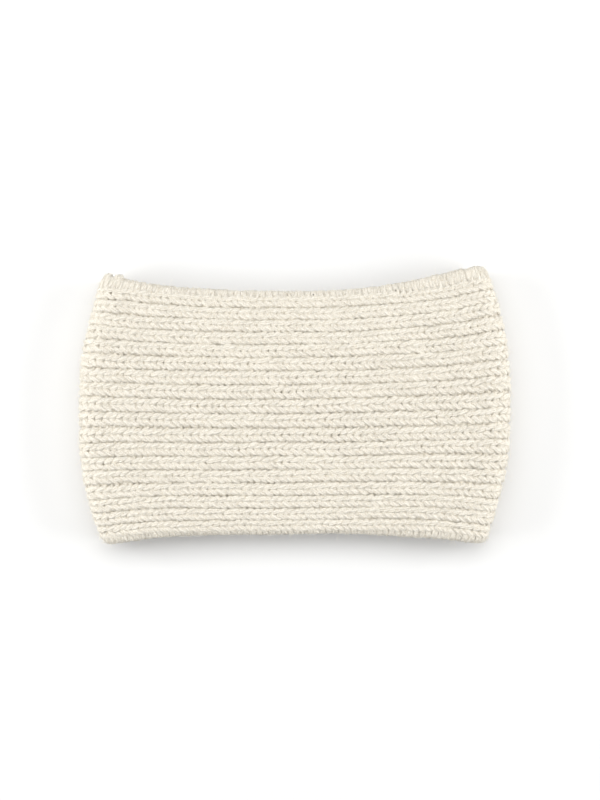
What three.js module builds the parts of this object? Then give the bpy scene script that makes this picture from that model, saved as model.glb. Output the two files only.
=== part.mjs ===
// A ribbed knit ear warmer headband, lying flat as it comes off the head.
// Millimetres, +Z up, +X to the right across the band, +Y along the head opening towards the upper rim.
//
// The real band is one piece: a strip of one-by-one rib, knitted as long as the head is round and joined end
// to end, so the ribs run round the head. It is one closed wall here, hollow inside and open at both rims.

import * as THREE from 'three';
import { ParametricGeometry } from 'three/addons/geometries/ParametricGeometry.js';
import { mergeVertices } from 'three/addons/utils/BufferGeometryUtils.js';

// The knit wall
const WALL = 6.4; // one layer of rib, from the outside crests to the inside crests
const OUTSIDE_RELIEF = 1.5; // how far an outside groove lies below its crests
const INSIDE_RELIEF = 1.1; // the same inside, where the ribs are pressed by the head
const RIB_COUNT = 18; // full ribs between the two rims
const RIB_CREST_SHARE = 0.5; // the flattened top of a rib, as a share of the rib's width
const RIB_SPREAD = 0.1; // mid ribs are this share wider than the mean rib, rim ribs as much narrower

// How the band lies
const MIDDLE_SAG = 2; // how far the upper layer sinks between the folds
const UPPER_RIM_DROP = 1.5; // how far the upper layer droops at the upper rim
const LOWER_RIM_DROP = 0.7; // and at the lower rim
const RIM_DROP_SHARE = 0.16; // the share of the band's breadth over which a rim droops
const UNDER_LAYER_INSET = 2; // how far the under layer's rims stay back from the upper layer's

// The two folds, from the lower rim (up 0) to the upper rim (up 1): how far each lies from the middle,
// and how high the band lies there.
const FOLDS = [
  { up: 0, left: 108, right: 107.6, height: 22 },
  { up: 0.1, left: 112.8, right: 111.4, height: 22.8 },
  { up: 0.3, left: 118.8, right: 118.2, height: 23.7 },
  { up: 0.5, left: 120, right: 120, height: 24 },
  { up: 0.7, left: 118.8, right: 118.6, height: 23.7 },
  { up: 0.88, left: 113.4, right: 113.4, height: 22.8 },
  { up: 1, left: 109.6, right: 108.4, height: 22 },
];

// The two rims, from the left fold (across -1) to the right fold (across 1), as places along the band: the
// outline of each rim, and the groove between its turned selvedge and the first full rib. Both rims dip
// towards the middle, and the upper selvedge lies open near the right fold.
const RIMS = [
  { across: -1, lower: -78.2, lowestGroove: -73.8, highestGroove: 65.6, upper: 73.4 },
  { across: -0.75, lower: -74, lowestGroove: -70.6, highestGroove: 62.4, upper: 67.8 },
  { across: -0.45, lower: -72.2, lowestGroove: -69.8, highestGroove: 60.5, upper: 65 },
  { across: -0.1, lower: -71.8, lowestGroove: -69.6, highestGroove: 60, upper: 63.6 },
  { across: 0.25, lower: -71.3, lowestGroove: -69.2, highestGroove: 60.6, upper: 64.2 },
  { across: 0.55, lower: -72.9, lowestGroove: -69.4, highestGroove: 62.9, upper: 68.4 },
  { across: 0.8, lower: -74.6, lowestGroove: -70.8, highestGroove: 66, upper: 74 },
  { across: 1, lower: -77.2, lowestGroove: -73.6, highestGroove: 71.8, upper: 78.2 },
];

// Mesh steps
const LAYER_STEPS = 16; // across the straight part of a layer
const FOLD_STEPS = 8; // round a fold
const RIM_STEPS = 5; // points on a rim's half round
const RIM_FIRST_ANGLE = Math.PI / 9; // where the half round starts, measured from the wall's face
const LOOP_STEPS = 2 * (LAYER_STEPS + FOLD_STEPS);
const DERIVATIVE_STEP = 1e-4;

// A column of a table at a place between its rows, on a smooth curve through them.
function tableValue(rows, placeColumn, place, column) {
  const last = rows.length - 1;
  const slope = (i) => {
    const before = rows[Math.max(i - 1, 0)];
    const after = rows[Math.min(i + 1, last)];
    return (after[column] - before[column]) / (after[placeColumn] - before[placeColumn]);
  };
  let i = 0;
  while (i < last - 1 && place > rows[i + 1][placeColumn]) i += 1;
  const span = rows[i + 1][placeColumn] - rows[i][placeColumn];
  const t = (place - rows[i][placeColumn]) / span;
  const fromHere = (1 + 2 * t) * (1 - t) ** 2 * rows[i][column];
  const fromNext = t ** 2 * (3 - 2 * t) * rows[i + 1][column];
  const bend = span * t * (1 - t) * ((1 - t) * slope(i) - t * slope(i + 1));
  return fromHere + fromNext + bend;
}

// The flattened loop of one section, seen along the band: x and z of the wall's middle at a share of the way
// round, from the left end of the upper layer, with the share of the way down from the upper layer (under).
function sectionPoint(around, up) {
  const fold = (column) => tableValue(FOLDS, 'up', up, column);
  const radius = (fold('height') - WALL) / 2;
  const left = fold('left') - WALL / 2;
  const right = fold('right') - WALL / 2;
  const straight = left + right - 2 * radius;
  const halfLoop = LAYER_STEPS + FOLD_STEPS;
  const step = around * LOOP_STEPS;
  const onUpperHalf = step < halfLoop;
  const stepInHalf = onUpperHalf ? step : step - halfLoop;
  const travel = straight * Math.min(stepInHalf / LAYER_STEPS, 1);
  const turn = Math.PI * Math.max((stepInHalf - LAYER_STEPS) / FOLD_STEPS, 0);
  const x = travel + radius * Math.sin(turn);
  const z = radius * Math.cos(turn);
  return {
    x: onUpperHalf ? radius - left + x : right - radius - x,
    z: radius + WALL / 2 + (onUpperHalf ? z : -z),
    under: 0.5 - (onUpperHalf ? z : -z) / (2 * radius),
    left,
    right,
  };
}

// How far a point of the upper layer has sunk, from its place between the folds and between the rims.
function droop(across, up, under) {
  const betweenFolds = (1 - across ** 2) ** 2;
  const fromUpperRim = Math.max(0, 1 - (1 - up) / RIM_DROP_SHARE);
  const fromLowerRim = Math.max(0, 1 - up / RIM_DROP_SHARE);
  const rims = UPPER_RIM_DROP * fromUpperRim ** 2 + LOWER_RIM_DROP * fromLowerRim ** 2;
  return (1 - under) * (MIDDLE_SAG * betweenFolds + rims * (1 - across ** 4));
}

// Where a place on the band lies: its section, and its share of the way from the left fold to the right one.
function bandPlace(around, up) {
  const section = sectionPoint(around, up);
  const middle = (section.right - section.left) / 2;
  const halfWidth = (section.right + section.left) / 2;
  const across = Math.min(Math.max((section.x - middle) / halfWidth, -1), 1);
  return { section, across };
}

// A point on the middle of the wall, between the lowest groove and the highest one.
function wallMiddle(around, up) {
  const { section, across } = bandPlace(around, up);
  const lowest = tableValue(RIMS, 'across', across, 'lowestGroove');
  const highest = tableValue(RIMS, 'across', across, 'highestGroove');
  const share = up - (RIB_SPREAD * Math.sin(2 * Math.PI * up)) / (2 * Math.PI);
  const inset = UNDER_LAYER_INSET * section.under * (2 * up - 1);
  const y = lowest + (highest - lowest) * share - inset;
  return new THREE.Vector3(section.x, y, section.z - droop(across, up, section.under));
}

// How far the turned selvedge stands beyond the groove beside it.
function rimReach(around, up) {
  const { across } = bandPlace(around, up);
  const rim = (column) => tableValue(RIMS, 'across', across, column);
  return up > 1 / 2 ? rim('upper') - rim('highestGroove') : rim('lowestGroove') - rim('lower');
}

// The wall's outward direction, and its direction along the band towards the upper rim.
function wallDirections(around, up) {
  const wrap = (share) => (share + 1) % 1;
  const roundStep = wallMiddle(wrap(around + DERIVATIVE_STEP), up)
    .sub(wallMiddle(wrap(around - DERIVATIVE_STEP), up));
  const upStep = wallMiddle(around, Math.min(up + DERIVATIVE_STEP, 1))
    .sub(wallMiddle(around, Math.max(up - DERIVATIVE_STEP, 0)));
  const outward = new THREE.Vector3().crossVectors(roundStep, upStep).normalize();
  return { outward, towardsUpperRim: upStep.normalize() };
}

// The stations of the wall's outline, once round it: up the outside, over the upper rim, down the inside and
// under the lower rim. Each has its place in ribs, its offset outward, and its share of the rim's reach.
function wallOutline() {
  const stations = [];
  const crest = WALL / 2;
  const crestEdge = (1 - RIB_CREST_SHARE) / 2;
  for (let rib = 0; rib < RIB_COUNT; rib += 1) {
    stations.push({ rib, out: crest - OUTSIDE_RELIEF, reach: 0 });
    stations.push({ rib: rib + crestEdge, out: crest, reach: 0 });
    stations.push({ rib: rib + 1 - crestEdge, out: crest, reach: 0 });
  }
  stations.push({ rib: RIB_COUNT, out: crest - OUTSIDE_RELIEF, reach: 0 });
  stations.push(...rimRound(RIB_COUNT, 1));
  for (let rib = RIB_COUNT; rib > 0; rib -= 1) {
    stations.push({ rib, out: -crest, reach: 0 });
    stations.push({ rib: rib - 1 / 2, out: INSIDE_RELIEF - crest, reach: 0 });
  }
  stations.push({ rib: 0, out: -crest, reach: 0 });
  stations.push(...rimRound(0, -1));
  return stations;
}

// A rim's half round: from the outside to the inside at the upper rim (side 1), and back at the lower (-1).
function rimRound(rib, side) {
  return Array.from({ length: RIM_STEPS }, (_, i) => {
    const angle = RIM_FIRST_ANGLE + ((Math.PI - 2 * RIM_FIRST_ANGLE) * i) / (RIM_STEPS - 1);
    return { rib, out: (side * WALL * Math.cos(angle)) / 2, reach: side * Math.sin(angle) };
  });
}

// The band's closed skin, one parametric surface: round the loop, and round the wall's outline.
function bandGeometry() {
  const outline = wallOutline();
  const skin = (around, place, target) => {
    const station = outline[Math.round(place * outline.length) % outline.length];
    const share = around % 1;
    const up = station.rib / RIB_COUNT;
    const { outward, towardsUpperRim } = wallDirections(share, up);
    const beyond = station.reach * rimReach(share, up);
    target.copy(wallMiddle(share, up));
    target.addScaledVector(outward, station.out).addScaledVector(towardsUpperRim, beyond);
  };
  const open = new ParametricGeometry(skin, LOOP_STEPS, outline.length);
  open.deleteAttribute('normal');
  open.deleteAttribute('uv');
  const closed = mergeVertices(open, WALL / 1000);
  closed.computeVertexNormals();
  return closed;
}

// Soft undyed wool
const knitWool = new THREE.MeshStandardMaterial({ color: 0xeae4d5, roughness: 0.95, metalness: 0 });

const knitBand = new THREE.Mesh(bandGeometry(), knitWool);
knitBand.name = 'knit_band';

const group = new THREE.Group();
group.add(knitBand);

export default group;
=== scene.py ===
# A ribbed knit ear warmer headband of soft cream wool, lying flat on a pale floor.
# Metres, in the CAD frame: +X from the left fold to the right one, +Y along the head opening, +Z up.

import bmesh
import bpy
import numpy as np
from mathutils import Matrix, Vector
from mathutils.kdtree import KDTree


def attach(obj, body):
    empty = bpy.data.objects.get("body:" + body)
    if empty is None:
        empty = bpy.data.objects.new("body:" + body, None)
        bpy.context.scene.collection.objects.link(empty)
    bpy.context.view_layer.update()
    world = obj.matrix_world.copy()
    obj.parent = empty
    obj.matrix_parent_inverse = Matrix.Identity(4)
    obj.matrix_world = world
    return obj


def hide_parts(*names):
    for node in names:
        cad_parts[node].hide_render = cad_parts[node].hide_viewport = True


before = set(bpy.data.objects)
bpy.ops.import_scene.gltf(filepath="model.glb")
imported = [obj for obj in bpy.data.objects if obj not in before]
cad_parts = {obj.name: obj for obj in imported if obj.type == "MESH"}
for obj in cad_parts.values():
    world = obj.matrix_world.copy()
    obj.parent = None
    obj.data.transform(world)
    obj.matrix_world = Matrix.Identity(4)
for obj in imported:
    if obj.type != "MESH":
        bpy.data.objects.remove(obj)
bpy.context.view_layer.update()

# The wall of the band
#
# The band is a strip of one-by-one rib, knitted as long as the head is round and joined end to end. It lies
# flattened between two folds, and its two rims dip towards the middle. Every stitch is set on this wall.

WALL = 0.0064  # one layer of rib, from the outside crests to the inside crests
RIBS = 18  # full ribs between the two rims
RIB_SPREAD = 0.1  # mid ribs are this share wider than the mean rib, rim ribs as much narrower
MIDDLE_SAG = 0.002  # how far the upper layer sinks between the folds
UPPER_RIM_DROP = 0.0015  # how far it droops at the upper rim
LOWER_RIM_DROP = 0.0007  # and at the lower rim
RIM_DROP_SHARE = 0.16  # the share of the band's breadth over which a rim droops
UNDER_LAYER_INSET = 0.002  # how far the under layer's rims stay back from the upper layer's
STEP = 1e-4  # a small step along the wall, to find its directions

# From the lower rim (up 0) to the upper rim (up 1): how far each fold lies from the middle, and its height
FOLDS = {
    "up": [0, 0.1, 0.3, 0.5, 0.7, 0.88, 1],
    "left": [0.108, 0.1128, 0.1188, 0.12, 0.1188, 0.1134, 0.1096],
    "right": [0.1076, 0.1114, 0.1182, 0.12, 0.1186, 0.1134, 0.1084],
    "height": [0.022, 0.0228, 0.0237, 0.024, 0.0237, 0.0228, 0.022],
}

# From the left fold (across -1) to the right fold (across 1): the two rims, and the grooves beside them
RIMS = {
    "across": [-1, -0.75, -0.45, -0.1, 0.25, 0.55, 0.8, 1],
    "lower": [-0.0782, -0.074, -0.0722, -0.0718, -0.0713, -0.0729, -0.0746, -0.0772],
    "lowest_groove": [-0.0738, -0.0706, -0.0698, -0.0696, -0.0692, -0.0694, -0.0708, -0.0736],
    "highest_groove": [0.0656, 0.0624, 0.0605, 0.06, 0.0606, 0.0629, 0.066, 0.0718],
    "upper": [0.0734, 0.0678, 0.065, 0.0636, 0.0642, 0.0684, 0.074, 0.0782],
}


def table_value(table, place_column, places, column):
    """A column of a table at each place, on a smooth curve through its rows."""
    at, value = np.array(table[place_column], float), np.array(table[column], float)
    before = np.r_[0, 0:len(at) - 1]
    after = np.r_[1:len(at), len(at) - 1]
    slope = (value[after] - value[before]) / (at[after] - at[before])
    row = np.clip(np.searchsorted(at, places, side="left") - 1, 0, len(at) - 2)
    span = at[row + 1] - at[row]
    t = (places - at[row]) / span
    from_here = (1 + 2 * t) * (1 - t) ** 2 * value[row]
    from_next = t**2 * (3 - 2 * t) * value[row + 1]
    bend = span * t * (1 - t) * ((1 - t) * slope[row] - t * slope[row + 1])
    return from_here + from_next + bend


def section_point(turn, up):
    """x, z, the share of the way down and how far out each fold lies, at a share of the way round."""
    left, right, height = (table_value(FOLDS, "up", up, c) for c in ("left", "right", "height"))
    radius = (height - WALL) / 2
    left, right = left - WALL / 2, right - WALL / 2
    straight = left + right - 2 * radius
    half = straight + np.pi * radius
    travel = (turn % 1) * 2 * half
    over = travel < half
    travel = np.where(over, travel, travel - half)
    angle = np.maximum(travel - straight, 0) / radius
    x = np.minimum(travel, straight) + radius * np.sin(angle)
    z = radius * np.cos(angle)
    x = np.where(over, radius - left + x, right - radius - x)
    z = np.where(over, z, -z)
    return x, z + height / 2, 0.5 - z / (2 * radius), left, right


def wall_middle(turn, up):
    """The middle of the wall, and how far across it lies, from -1 at the left fold to 1 at the right one."""
    x, z, under, left, right = section_point(turn, up)
    across = np.clip((2 * x - right + left) / (right + left), -1, 1)
    lowest = table_value(RIMS, "across", across, "lowest_groove")
    highest = table_value(RIMS, "across", across, "highest_groove")
    share = up - RIB_SPREAD * np.sin(2 * np.pi * up) / (2 * np.pi)
    y = lowest + (highest - lowest) * share - UNDER_LAYER_INSET * under * (2 * up - 1)
    near_upper = np.maximum(0, 1 - (1 - up) / RIM_DROP_SHARE) ** 2
    near_lower = np.maximum(0, 1 - up / RIM_DROP_SHARE) ** 2
    rims = (UPPER_RIM_DROP * near_upper + LOWER_RIM_DROP * near_lower) * (1 - across**4)
    droop = (1 - under) * (MIDDLE_SAG * (1 - across**2) ** 2 + rims)
    return np.stack([x, y, z - droop], -1), across


def unit(vectors):
    return vectors / np.linalg.norm(vectors, axis=-1, keepdims=True)


# The yarn in its stitches
#
# A soft plied wool of medium weight. Each course runs from rim to rim through loops that face the outside and
# the inside in turn, and turns round at the rim. Each loop is pulled through the loop of the course before.

COURSES = 128  # once round the head
WALES = 2 * RIBS + 1  # ribs that face the outside, those between them that face the inside, and the rims
COURSE_SPREAD = 0.03  # the share that courses lie further apart mid layer, and closer at the folds
YARN_RADIUS = 0.00156
FLATTENED = 0.8  # the yarn is pressed against the wall, to this share of its thickness
WIDENED = 1.1  # and to this share of its width
LEG_DEPTH = WALL / 2 - YARN_RADIUS  # the outermost place of the yarn's middle, from the wall's middle
POINTS_PER_STITCH = 12
SMOOTHING = 6  # steps of the smooth line between two points of a loop
JOIN_AT = 0.75  # where the first course lies, as a share of the way round: near the under layer's middle
LAYER_MIDDLE = 0.222  # where the middle of the upper layer lies

# Half a loop, from where the yarn comes through between two wales to the loop's head. Its places are the
# link, base, leg, upper leg, shoulder and head. Each has its distance from the wale's middle in ribs, the
# distance along it in courses, and how far it stands out of the wall, as a share of LEG_DEPTH, on a wale
# that faces the outside and on one that faces the inside.
HALF_LOOP = {
    "across": [0.25, 0.09, 0.21, 0.33, 0.26, 0],
    "along": [-0.29, -0.02, 0.42, 0.85, 1.2, 1.38],
    "outside": [0, 0.85, 1.0, 0.9, 0.5, 0.4],
    "inside": [0, -0.12, -0.27, -0.12, 0.02, 0.08],
}

# At a rim the yarn wraps the selvedge: it goes over the edge, back, and over again before the next course
RIM_CROSSINGS = 3
RIM_DEPTH = 0.8  # how far the wraps stand from the wall's middle, as a share of LEG_DEPTH
RIM_LEAN = 1.0  # courses that the yarn moves on by meanwhile
RIM_SHIFT = 0.9  # how much of a stitch's own shift shows in a wrap's reach
RIM_EVENNESS = 0.2  # and in its place along the rim
RIM_TUCK = 0.14  # ribs from the last groove back to where the wraps begin and end
RIM_THINNED = 0.3  # the yarn is pulled this share thinner on the rim
RIM_WIDENED = 0.1  # and pressed this share wider along it
RIM_RAMP_START = -0.15  # ribs past the last groove where both begin
RIM_RAMP = 0.3  # ribs from there to where they are full

# Loops that stand slack on a rim, by course and wale: how much further they reach, as a share
SLACK_LOOPS = {(30, 36): 0.2, (32, 36): 0.3, (88, 0): 0.15}

# How unevenly it is knitted: the usual shift of a stitch across, along and outward, as HALF_LOOP measures
# them, that of a slow drift along the wale, and the courses that such a drift lasts
STITCH_SHIFT = [0.03, 0.07, 0.07]
WANDER = [0.03, 0.09, 0.03]
WANDER_COURSES = 4
SEED = 7

chance = np.random.default_rng(SEED)


def wandering():
    """How far each stitch lies from its even place: a slow drift along the wale and a jump of its own."""
    jump = chance.normal(0, 1, (COURSES, WALES, 3))
    away = np.minimum(np.arange(COURSES), COURSES - np.arange(COURSES))
    bell = np.exp(-0.5 * (away / WANDER_COURSES) ** 2)
    bell /= np.sqrt((bell**2).sum())
    start = chance.normal(0, 1, (COURSES, WALES, 3))
    drift = np.fft.ifft(np.fft.fft(start, axis=0) * np.fft.fft(bell)[:, None, None], axis=0).real
    return jump * STITCH_SHIFT + drift * WANDER


shifts = wandering()


def whole_loop(face):
    """The points of a loop on that face, from one link to the next, without the last link."""
    across, along, out = (np.array(HALF_LOOP[c]) for c in ("across", "along", face))
    there = np.stack([-across, along, out], -1)
    back = np.stack([across, along, out], -1)[-2:0:-1]
    return np.concatenate([there, back])


def course_points(course):
    """One course of loops from the lower rim to the upper one, as courses, ribs and depth of each point."""
    wale = np.arange(WALES)[:, None]
    rim = (wale == 0) | (wale == WALES - 1)
    faces_out = ((wale % 2 == 1) | rim)[..., None]
    place = np.where(faces_out, whole_loop("outside"), whole_loop("inside"))
    # The links aren't shifted, so each loop begins where the one beside it ends
    past_link = np.arange(place.shape[1]) > 0
    place = place + shifts[course][:, None] * past_link[None, :, None]
    across, along, out = place[..., 0], place[..., 1], place[..., 2]
    ribs = wale / 2 + across
    depth = out * LEG_DEPTH
    # Each crossing of a rim is half a turn over its edge, and the next one goes back
    crossed = np.linspace(0, RIM_CROSSINGS, place.shape[1])
    half_turn = np.pi * np.abs((crossed + 1) % 2 - 1)
    for wale_at, side in ((0, -1), (WALES - 1, 1)):
        reach = 1 + RIM_SHIFT * shifts[course, wale_at, 0] + SLACK_LOOPS.get((course, wale_at), 0)
        ribs[wale_at] = wale_at / 2 + side * ((reach / 2 + RIM_TUCK) * np.sin(half_turn) - RIM_TUCK)
        depth[wale_at] = side * RIM_DEPTH * LEG_DEPTH * np.cos(half_turn)
        even = HALF_LOOP["along"][0] + RIM_LEAN * crossed / RIM_CROSSINGS
        along[wale_at] = even + RIM_EVENNESS * shifts[course, wale_at, 1]
    # The course ends at the last groove, on the inside of the wall
    ribs = np.append(ribs.ravel(), WALES // 2)
    depth = np.append(depth.ravel(), -RIM_DEPTH * LEG_DEPTH)
    along = np.append(along.ravel(), HALF_LOOP["along"][0] + RIM_LEAN)
    return course + along, ribs, depth


def place_on_wall(courses, ribs, depth):
    """Points of the yarn on the wall. Past the first and last groove they lie on the turned selvedge."""
    share = courses / COURSES
    turn = JOIN_AT + share
    turn = turn + COURSE_SPREAD * np.sin(4 * np.pi * (turn - LAYER_MIDDLE)) / (4 * np.pi)
    up = np.clip(ribs / RIBS, 0, 1)
    middle, across = wall_middle(turn, up)
    ahead = wall_middle(turn + STEP, up)[0] - wall_middle(turn - STEP, up)[0]
    higher = wall_middle(turn, np.minimum(up + STEP, 1))[0] - wall_middle(turn, np.maximum(up - STEP, 0))[0]
    outward, higher, ahead = unit(np.cross(ahead, higher)), unit(higher), unit(ahead)
    rim = {column: table_value(RIMS, "across", across, column) for column in RIMS}
    reach = np.where(up > 0.5, rim["upper"] - rim["highest_groove"], rim["lowest_groove"] - rim["lower"])
    reach = reach - YARN_RADIUS * (1 - RIM_THINNED) * WIDENED
    past = (ribs - up * RIBS) * 2 * reach
    at = middle + outward * depth[:, None] + higher * past[:, None]
    at[:, 2] = np.maximum(at[:, 2], YARN_RADIUS)
    return at, outward, ahead


# The columns of a row of the yarn's line: its place, the ways out of the wall and on round the band, how far
# it lies from the wall's middle, and how much it counts as on a rim, from 0 to 1
PLACE = slice(0, 3)
OUTWARD = slice(3, 6)
AHEAD = slice(6, 9)
DEPTH = 9
ON_RIM = 10


def smooth_line(points):
    """A smooth line through the points, with SMOOTHING steps between each two."""
    ends = np.concatenate([points[:1], points, points[-1:]])
    a, b, c, d = ends[:-3], ends[1:-2], ends[2:-1], ends[3:]
    t = (np.arange(SMOOTHING) / SMOOTHING)[None, :, None]
    a, b, c, d = (p[:, None] for p in (a, b, c, d))
    line = b + 0.5 * t * (c - a + t * (2 * a - 5 * b + 4 * c - d + t * (3 * (b - c) + d - a)))
    return np.concatenate([line.reshape(-1, points.shape[1]), points[-1:]])


def spaced(line, count):
    """The line again, as count points at equal distances, with the distances run."""
    run = np.r_[0, np.cumsum(np.linalg.norm(np.diff(line[:, PLACE], axis=0), axis=1))]
    even = np.linspace(0, run[-1], count)
    return np.stack([np.interp(even, run, column) for column in line.T], -1), even


def yarn_line():
    """The whole yarn, back and forth through the courses: a row for each point, and the length up to it."""
    rows = []
    for course in range(COURSES):
        courses, ribs, depth = course_points(course)
        at, outward, ahead = place_on_wall(courses, ribs, depth)
        past = np.maximum(-ribs, ribs - RIBS)
        on_rim = np.clip((past - RIM_RAMP_START) / RIM_RAMP, 0, 1)
        row = np.concatenate([at, outward, ahead, depth[:, None], on_rim[:, None]], -1)
        rows.append(row if course % 2 == 0 else row[::-1])
    line = smooth_line(np.concatenate(rows))
    return spaced(line, COURSES * WALES * POINTS_PER_STITCH + 1)


yarn, yarn_run = yarn_line()

# The finish of the wool
#
# Undyed cream wool, matt and softly spun of six strands that turn round each other, with fine fibres along
# them, paler flecks and a few darker specks. The furrows between the strands are painted darker, as the shade
# that falls in them. The strands follow the yarn by the "yarn" UV map.

PLIES = 6
PLY_TURN = -0.035  # the yarn's length for one whole turn, with a sign for which way it turns
CREAM = (0.857, 0.812, 0.718, 1)
PAINTED_FURROW_SHADE = (0.768, 0.71, 0.598, 1)  # painted shade, for the shade that falls in the furrow between two strands
FLECK = (0.872, 0.836, 0.76, 1)
SPECK = (0.7, 0.633, 0.514, 1)
PAINTED_FURROW_SHADE_POWER = 0.5  # below 1 keeps the painted shade to the furrow's floor

# Both kinds of spot lie where a noise is above "from", and a higher "gain" gives them sharper edges
FLECKS = {"scale": 500, "detail": 3, "from": 0.42, "gain": 1.6}
SPECKS = {"scale": 1500, "detail": 1, "from": 0.52, "gain": 9}

# The fibres in a strand are a noise too, fine round the yarn ("across") and drawn out on its way ("along")
STRAND_FIBRES = {"scale": 2600, "detail": 2, "across": 0.004, "along": 0.4}
STRAND_FIBRE_HEIGHT = 0.7  # as a share of a strand's height
WOOL_RELIEF = 0.0004  # the height of a strand
WOOL_RELIEF_STRENGTH = 0.8

wool = bpy.data.materials.new("knit_wool")
wool.use_nodes = True
nodes, links = wool.node_tree.nodes, wool.node_tree.links
shader = nodes["Principled BSDF"]
shader.inputs["Roughness"].default_value = 0.92
shader.inputs["Sheen Weight"].default_value = 0.6
shader.inputs["Sheen Roughness"].default_value = 0.5
shader.inputs["Sheen Tint"].default_value = (1, 0.97, 0.9, 1)
shader.inputs["Specular IOR Level"].default_value = 0.25


def feed(socket, value):
    """Gives a socket a value, or links another socket to it."""
    if isinstance(value, bpy.types.NodeSocket):
        links.new(value, socket)
    else:
        socket.default_value = value


def calc(operation, first, second=0.0):
    """A math node on two values or sockets."""
    node = nodes.new("ShaderNodeMath")
    node.operation = operation
    feed(node.inputs[0], first)
    feed(node.inputs[1], second)
    return node.outputs[0]


def noise(vector, scale, detail):
    node = nodes.new("ShaderNodeTexNoise")
    node.inputs["Scale"].default_value = scale
    node.inputs["Detail"].default_value = detail
    links.new(vector, node.inputs["Vector"])
    return node.outputs["Fac"]


def blended(share, first, second):
    """A colour on the way from the first to the second, by the share."""
    node = nodes.new("ShaderNodeMix")
    node.data_type = "RGBA"
    feed(node.inputs["Factor"], share)
    feed(node.inputs["A"], first)
    feed(node.inputs["B"], second)
    return node.outputs["Result"]


def spots(vector, kind):
    """Spots of that kind, as a share that is nought or less between them."""
    cloud = noise(vector, kind["scale"], kind["detail"])
    return calc("MULTIPLY", calc("SUBTRACT", cloud, kind["from"]), kind["gain"])


yarn_map_node = nodes.new("ShaderNodeUVMap")
yarn_map_node.uv_map = "yarn"
split = nodes.new("ShaderNodeSeparateXYZ")
links.new(yarn_map_node.outputs["UV"], split.inputs[0])
metres, round_yarn = split.outputs[0], split.outputs[1]
twist = calc("MULTIPLY", calc("ADD", round_yarn, calc("DIVIDE", metres, PLY_TURN)), 2 * np.pi)
ply = calc("ABSOLUTE", calc("SINE", calc("MULTIPLY", twist, PLIES / 2)))

strand_space = nodes.new("ShaderNodeCombineXYZ")
feed(strand_space.inputs[0], calc("MULTIPLY", calc("COSINE", twist), STRAND_FIBRES["across"]))
feed(strand_space.inputs[1], calc("MULTIPLY", calc("SINE", twist), STRAND_FIBRES["across"]))
feed(strand_space.inputs[2], calc("MULTIPLY", metres, STRAND_FIBRES["along"]))
fibres = noise(strand_space.outputs[0], STRAND_FIBRES["scale"], STRAND_FIBRES["detail"])

place = nodes.new("ShaderNodeTexCoord").outputs["Object"]
# The colour is painted darker towards each furrow between the strands, as shade
colour = blended(calc("POWER", ply, PAINTED_FURROW_SHADE_POWER), PAINTED_FURROW_SHADE, CREAM)
colour = blended(spots(place, SPECKS), colour, SPECK)
colour = blended(spots(place, FLECKS), colour, FLECK)
links.new(colour, shader.inputs["Base Color"])

bump = nodes.new("ShaderNodeBump")
bump.inputs["Strength"].default_value = WOOL_RELIEF_STRENGTH
bump.inputs["Distance"].default_value = WOOL_RELIEF
feed(bump.inputs["Height"], calc("ADD", ply, calc("MULTIPLY", fibres, STRAND_FIBRE_HEIGHT)))
links.new(bump.outputs[0], shader.inputs["Normal"])

# The knitting itself
#
# The whole band is one yarn, so the five pieces are five lengths of it that follow each other round the head,
# each ending where the next begins. The wool is a little thicker and thinner from place to place.

LENGTHS = 5
YARN_SIDES = 6
THICKNESS_SHIFT = 0.07  # the usual share that a place is thicker or thinner by
SLUB_LENGTH = 0.006  # the distance from one such place to the next
SAME_PLACE = 1e-7  # corners this close are one
STRIP_MARGIN = 0.05  # room on both sides of a course in its baked picture, as a share of its strip

courses_before = np.round(np.linspace(0, COURSES, LENGTHS + 1)).astype(int)
slubs = np.arange(0, yarn_run[-1] + SLUB_LENGTH, SLUB_LENGTH)
thickness = 1 + THICKNESS_SHIFT * np.interp(yarn_run, slubs, chance.normal(0, 1, len(slubs)))
thickness *= 1 - RIM_THINNED * yarn[:, ON_RIM]


def ring(radius, sides):
    """An outline for a tube, in the scene until the tube is made."""
    outline = bpy.data.curves.new("ring", "CURVE")
    corners = outline.splines.new("POLY")
    corners.points.add(sides - 1)
    for number, point in enumerate(corners.points):
        angle = -2 * np.pi * number / sides
        point.co = (radius * np.cos(angle), radius * np.sin(angle), 0, 1)
    corners.use_cyclic_u = True
    holder = bpy.data.objects.new("ring", outline)
    bpy.context.scene.collection.objects.link(holder)
    return holder


def tube(name, places, radii, radius, sides):
    """A piece made of closed tubes, one along each line of places."""
    outline = ring(radius, sides)
    curve = bpy.data.curves.new(name, "CURVE")
    curve.dimensions = "3D"
    curve.use_fill_caps = True
    curve.bevel_mode = "OBJECT"
    curve.bevel_object = outline
    for line, line_radii in zip(places, radii):
        spline = curve.splines.new("POLY")
        spline.points.add(len(line) - 1)
        spline.points.foreach_set("co", np.c_[line, np.ones(len(line))].astype(np.float32).ravel())
        spline.points.foreach_set("radius", line_radii.astype(np.float32))
    holder = bpy.data.objects.new(name + "_line", curve)
    bpy.context.scene.collection.objects.link(holder)
    evaluated = holder.evaluated_get(bpy.context.evaluated_depsgraph_get())
    mesh = bpy.data.meshes.new_from_object(evaluated)
    bpy.data.objects.remove(holder)
    bpy.data.objects.remove(outline)
    bm = bmesh.new()
    bm.from_mesh(mesh)
    bmesh.ops.remove_doubles(bm, verts=bm.verts[:], dist=SAME_PLACE)
    bm.to_mesh(mesh)
    bm.free()
    mesh.name = name
    piece = bpy.data.objects.new(name, mesh)
    bpy.context.scene.collection.objects.link(piece)
    return piece


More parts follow.
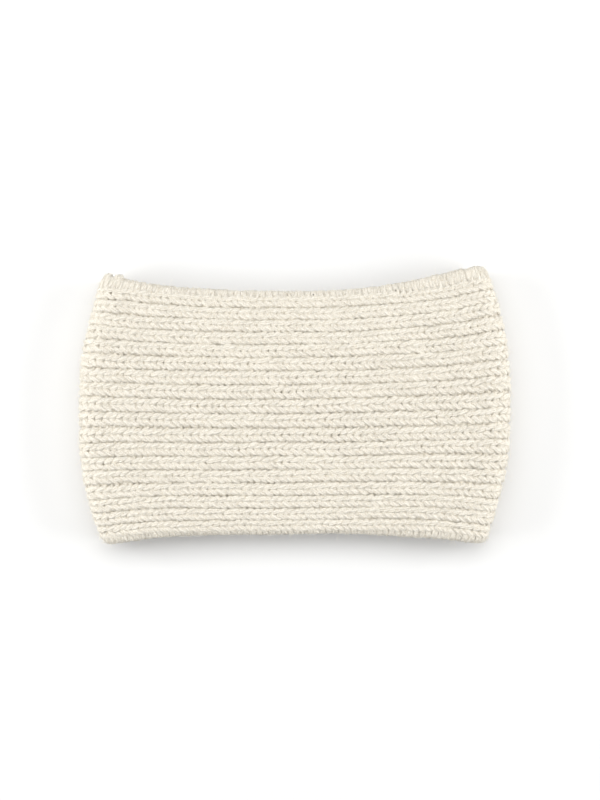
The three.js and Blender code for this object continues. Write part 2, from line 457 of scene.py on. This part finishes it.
def flatten(mesh, line):
    """Presses the yarn against the wall: thinner outward and wider along it, and widest on the rims."""
    at = np.zeros(3 * len(mesh.vertices), np.float32)
    mesh.vertices.foreach_get("co", at)
    at = at.reshape(-1, 3).astype(float)
    tree = KDTree(len(line))
    for index, point in enumerate(line[:, PLACE]):
        tree.insert(point, index)
    tree.balance()
    nearest = line[[tree.find(point)[1] for point in at]]
    middle, outward, ahead = nearest[:, PLACE], unit(nearest[:, OUTWARD]), unit(nearest[:, AHEAD])
    offset = at - middle
    out = (offset * outward).sum(-1, keepdims=True) * outward
    along = (offset * ahead).sum(-1, keepdims=True) * ahead
    on_rim = nearest[:, ON_RIM, None]
    at = middle + out * FLATTENED + (offset - out) * WIDENED + along * RIM_WIDENED * on_rim
    mesh.vertices.foreach_set("co", at.astype(np.float32).ravel())
    mesh.update()


def course_of_corners(mesh, share, rows):
    """The course, counted from the piece's first, that each face corner belongs to."""
    start = np.zeros(len(mesh.polygons), np.int32)
    total = np.zeros(len(mesh.polygons), np.int32)
    mesh.polygons.foreach_get("loop_start", start)
    mesh.polygons.foreach_get("loop_total", total)
    face_share = np.add.reduceat(share, start) / total
    return np.repeat(np.minimum(np.floor(face_share * rows), rows - 1), total)


def map_yarn(mesh, run_start, run_end, rows):
    """Two UV maps: "yarn", in metres along it and turns round it, and "OFBake", a strip for each course."""
    drawn = np.zeros(2 * len(mesh.loops), np.float32)
    mesh.uv_layers[0].data.foreach_get("uv", drawn)
    share, side = drawn.reshape(-1, 2).T
    row = course_of_corners(mesh, share, rows)
    run = run_start + share * (run_end - run_start)
    strip = (row + STRIP_MARGIN + (1 - 2 * STRIP_MARGIN) * side) / rows
    for name, across, up in (("yarn", run, side), ("OFBake", share * rows - row, strip)):
        layer = mesh.uv_layers.new(name=name)
        layer.data.foreach_set("uv", np.stack([across, up], -1).astype(np.float32).ravel())
    mesh.uv_layers.remove(mesh.uv_layers[0])


for number in range(LENGTHS):
    rows = courses_before[number + 1] - courses_before[number]
    first = courses_before[number] * WALES * POINTS_PER_STITCH
    last = first + rows * WALES * POINTS_PER_STITCH
    part = slice(first, last + 1)
    name = f"knit_courses_{number + 1}"
    piece = tube(name, [yarn[part, PLACE]], [thickness[part]], YARN_RADIUS, YARN_SIDES)
    flatten(piece.data, yarn[part])
    map_yarn(piece.data, yarn_run[first], yarn_run[last], rows)
    piece.data.materials.append(wool)
    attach(piece, "root")
    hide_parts("knit_band")

# Loose fibres
#
# The wool is softly spun, so fine fibres stand off the yarn and lie over it in all directions. They are thin
# tubes rooted in the yarn, on the outside of the band alone, where they soften the stitches and the outline.

FIBRES = 9000
FIBRE_PIECES = 2
FIBRE_POINTS = 5
FIBRE_SIDES = 3
FIBRE_RADIUS = (0.00004, 0.00008)
FIBRE_LENGTH = (0.002, 0.005)
FIBRE_LIFT = (0.0001, 0.0008)  # how far a fibre's arch stands off the yarn
FIBRE_ARCH = 2.6  # radians of a wave in that arch: past its top, and half way back to the yarn
FIBRE_SPREAD = 1.3  # how far round the yarn a root may lie from its outermost line, in radians
FIBRE_TURN = 0.8  # how far fibres usually head sideways, as a share of the way along the yarn
FIBRE_BEND = 0.45  # and how far they bend, as a share of their length
FIBRES_BELOW = 0.5  # how many there are where the wool faces down, as a share
FIBRES_ON_OUTLINE = 1.0  # how many more there are where it faces sideways, as a share
FIBRES_ALONG_RIM = 0.8  # the share that they head along the yarn less on a rim, clear of the opening

AT_RIM = 0.9  # how much a root counts as on a rim, from which on it takes the rim's own way out
FACING_DOWN = -0.3  # the upward part of a direction that counts as down
RIM_OUTERMOST = -0.2  # the least depth of a root on the rim, as a share of LEG_DEPTH
OUTERMOST = 0.5  # and elsewhere
NO_ZERO = 0.01  # a share of the wall's own direction, so that no direction is nought

fibre_wool = wool.copy()
fibre_wool.name = "fibre_wool"
fibre_nodes = fibre_wool.node_tree.nodes
fibre_shader = fibre_nodes["Principled BSDF"]
for socket_name in ("Base Color", "Normal"):
    fibre_wool.node_tree.links.remove(fibre_shader.inputs[socket_name].links[0])
fibre_shader.inputs["Base Color"].default_value = FLECK


def fibre_roots():
    """Where the fibres leave the yarn, as places in its line, with the yarn's way and the way out at each."""
    line = yarn[:-1]
    tangent = unit(yarn[1:, PLACE] - line[:, PLACE])
    outward, ahead, depth = unit(line[:, OUTWARD]), unit(line[:, AHEAD]), line[:, DEPTH]
    beyond_rim = outward * depth[:, None]
    beyond_rim[:, 1] += LEG_DEPTH * np.sign(line[:, 1])
    rim_outward = np.cross(ahead, tangent)
    rim_outward *= np.sign((rim_outward * beyond_rim).sum(-1, keepdims=True))
    at_rim = line[:, ON_RIM] > AT_RIM
    outward = np.where(at_rim[:, None], unit(rim_outward + outward * NO_ZERO), outward)
    weight = (depth > LEG_DEPTH * np.where(at_rim, RIM_OUTERMOST, OUTERMOST)).astype(float)
    on_outline = 1 + FIBRES_ON_OUTLINE * (1 - np.abs(outward[:, 2]))
    weight *= np.where(outward[:, 2] < FACING_DOWN, FIBRES_BELOW, on_outline)
    root = chance.choice(len(weight), FIBRES, p=weight / weight.sum())
    return root, tangent[root], outward[root]


def fibre_paths():
    """The path of every loose fibre, from its root on the yarn's outer side."""
    root, tangent, outward = fibre_roots()
    on_rim = yarn[root, ON_RIM, None]
    side = unit(np.cross(outward, tangent))
    lean = chance.uniform(-FIBRE_SPREAD, FIBRE_SPREAD, (FIBRES, 1))
    from_yarn = outward * np.cos(lean) * FLATTENED + side * np.sin(lean) * WIDENED
    start = yarn[root, PLACE] + from_yarn * YARN_RADIUS * (1 - RIM_THINNED * on_rim)
    along = tangent * (1 - FIBRES_ALONG_RIM * on_rim) * chance.choice([-1, 1], (FIBRES, 1))
    heading = along + side * chance.normal(0, FIBRE_TURN, (FIBRES, 1))
    heading = unit(heading) * chance.uniform(*FIBRE_LENGTH, (FIBRES, 1))
    curl = np.cross(outward, heading) * chance.normal(0, FIBRE_BEND, (FIBRES, 1))
    lift = outward * chance.uniform(*FIBRE_LIFT, (FIBRES, 1)) + from_yarn * FIBRE_LIFT[0]
    t = np.linspace(0, 1, FIBRE_POINTS)[None, :, None]
    arch = np.sin(FIBRE_ARCH * t)
    paths = start[:, None] + heading[:, None] * t + curl[:, None] * t**2 + lift[:, None] * arch
    paths[..., 2] = np.maximum(paths[..., 2], FIBRE_RADIUS[1])
    return paths


paths = fibre_paths()
radii = np.ones((FIBRES, FIBRE_POINTS)) * chance.uniform(FIBRE_RADIUS[0] / FIBRE_RADIUS[1], 1, (FIBRES, 1))
for number in range(FIBRE_PIECES):
    part = slice(number, None, FIBRE_PIECES)
    piece = tube(f"loose_fibres_{number + 1}", paths[part], radii[part], FIBRE_RADIUS[1], FIBRE_SIDES)
    piece.data.materials.append(fibre_wool)
    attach(piece, "root")
    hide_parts("knit_band")

# The floor and the light
#
# The band lies on a plain pale floor in a white room. A wide window above and beyond its upper rim lights it,
# and a low light on each side brightens the folds.

FLOOR_HALF = 8.0
FLOOR_COLOUR = (0.81, 0.81, 0.805, 1)
ROOM_LIGHT = 0.39
LIGHTS = {
    "window": {"at": (-0.1, 0.7, 1.5), "size": (2.8, 1.2), "watts": 19.3},
    "left wall": {"at": (-1.0, 0.0, 0.45), "size": (0.9, 0.45), "watts": 8.4},
    "right wall": {"at": (1.0, 0.0, 0.45), "size": (0.9, 0.45), "watts": 8.4},
}

bm = bmesh.new()
bmesh.ops.create_grid(bm, x_segments=1, y_segments=1, size=FLOOR_HALF)
floor_mesh = bpy.data.meshes.new("floor")
bm.to_mesh(floor_mesh)
bm.free()
floor = bpy.data.objects.new("floor", floor_mesh)
bpy.context.scene.collection.objects.link(floor)
floor_paint = bpy.data.materials.new("floor_paint")
floor_paint.use_nodes = True
floor_shader = floor_paint.node_tree.nodes["Principled BSDF"]
floor_shader.inputs["Base Color"].default_value = FLOOR_COLOUR
floor_shader.inputs["Roughness"].default_value = 0.9
floor_shader.inputs["Specular IOR Level"].default_value = 0.1
floor_mesh.materials.append(floor_paint)

room = bpy.data.worlds.new("room")
room.use_nodes = True
room.node_tree.nodes["Background"].inputs["Color"].default_value = (1, 1, 1, 1)
room.node_tree.nodes["Background"].inputs["Strength"].default_value = ROOM_LIGHT
bpy.context.scene.world = room

for name, light in LIGHTS.items():
    lamp = bpy.data.lights.new(name, "AREA")
    lamp.shape = "RECTANGLE"
    lamp.size, lamp.size_y = light["size"]
    lamp.energy = light["watts"]
    holder = bpy.data.objects.new(name, lamp)
    holder.location = light["at"]
    holder.rotation_euler = Vector(light["at"]).to_track_quat("Z", "Y").to_euler()
    bpy.context.scene.collection.objects.link(holder)

# The camera
#
# It looks straight down on the band from above a place near its middle, with +Y up in the picture. Its lens
# gives each pixel its real size at the level where the band's outline lies.

CAMERA_PLACE = (0.0028, 0.0028)
CAMERA_HEIGHT = 1.5
OUTLINE_HEIGHT = 0.014  # the band's outline is the widest part of its folds, about half way up
PICTURE_PIXELS = 800
PIXEL = 0.000553  # at the band's outline, from its width of 240 mm
SENSOR_HEIGHT = 0.024
MILLIMETRES = 1000

picture_height = PICTURE_PIXELS * PIXEL
lens = bpy.data.cameras.new("camera")
lens.sensor_fit = "VERTICAL"
lens.sensor_height = SENSOR_HEIGHT * MILLIMETRES
lens.lens = MILLIMETRES * SENSOR_HEIGHT * (CAMERA_HEIGHT - OUTLINE_HEIGHT) / picture_height
camera = bpy.data.objects.new("camera", lens)
camera.location = (*CAMERA_PLACE, CAMERA_HEIGHT)
bpy.context.scene.collection.objects.link(camera)
bpy.context.scene.camera = camera
bpy.context.scene.view_settings.view_transform = "Standard"
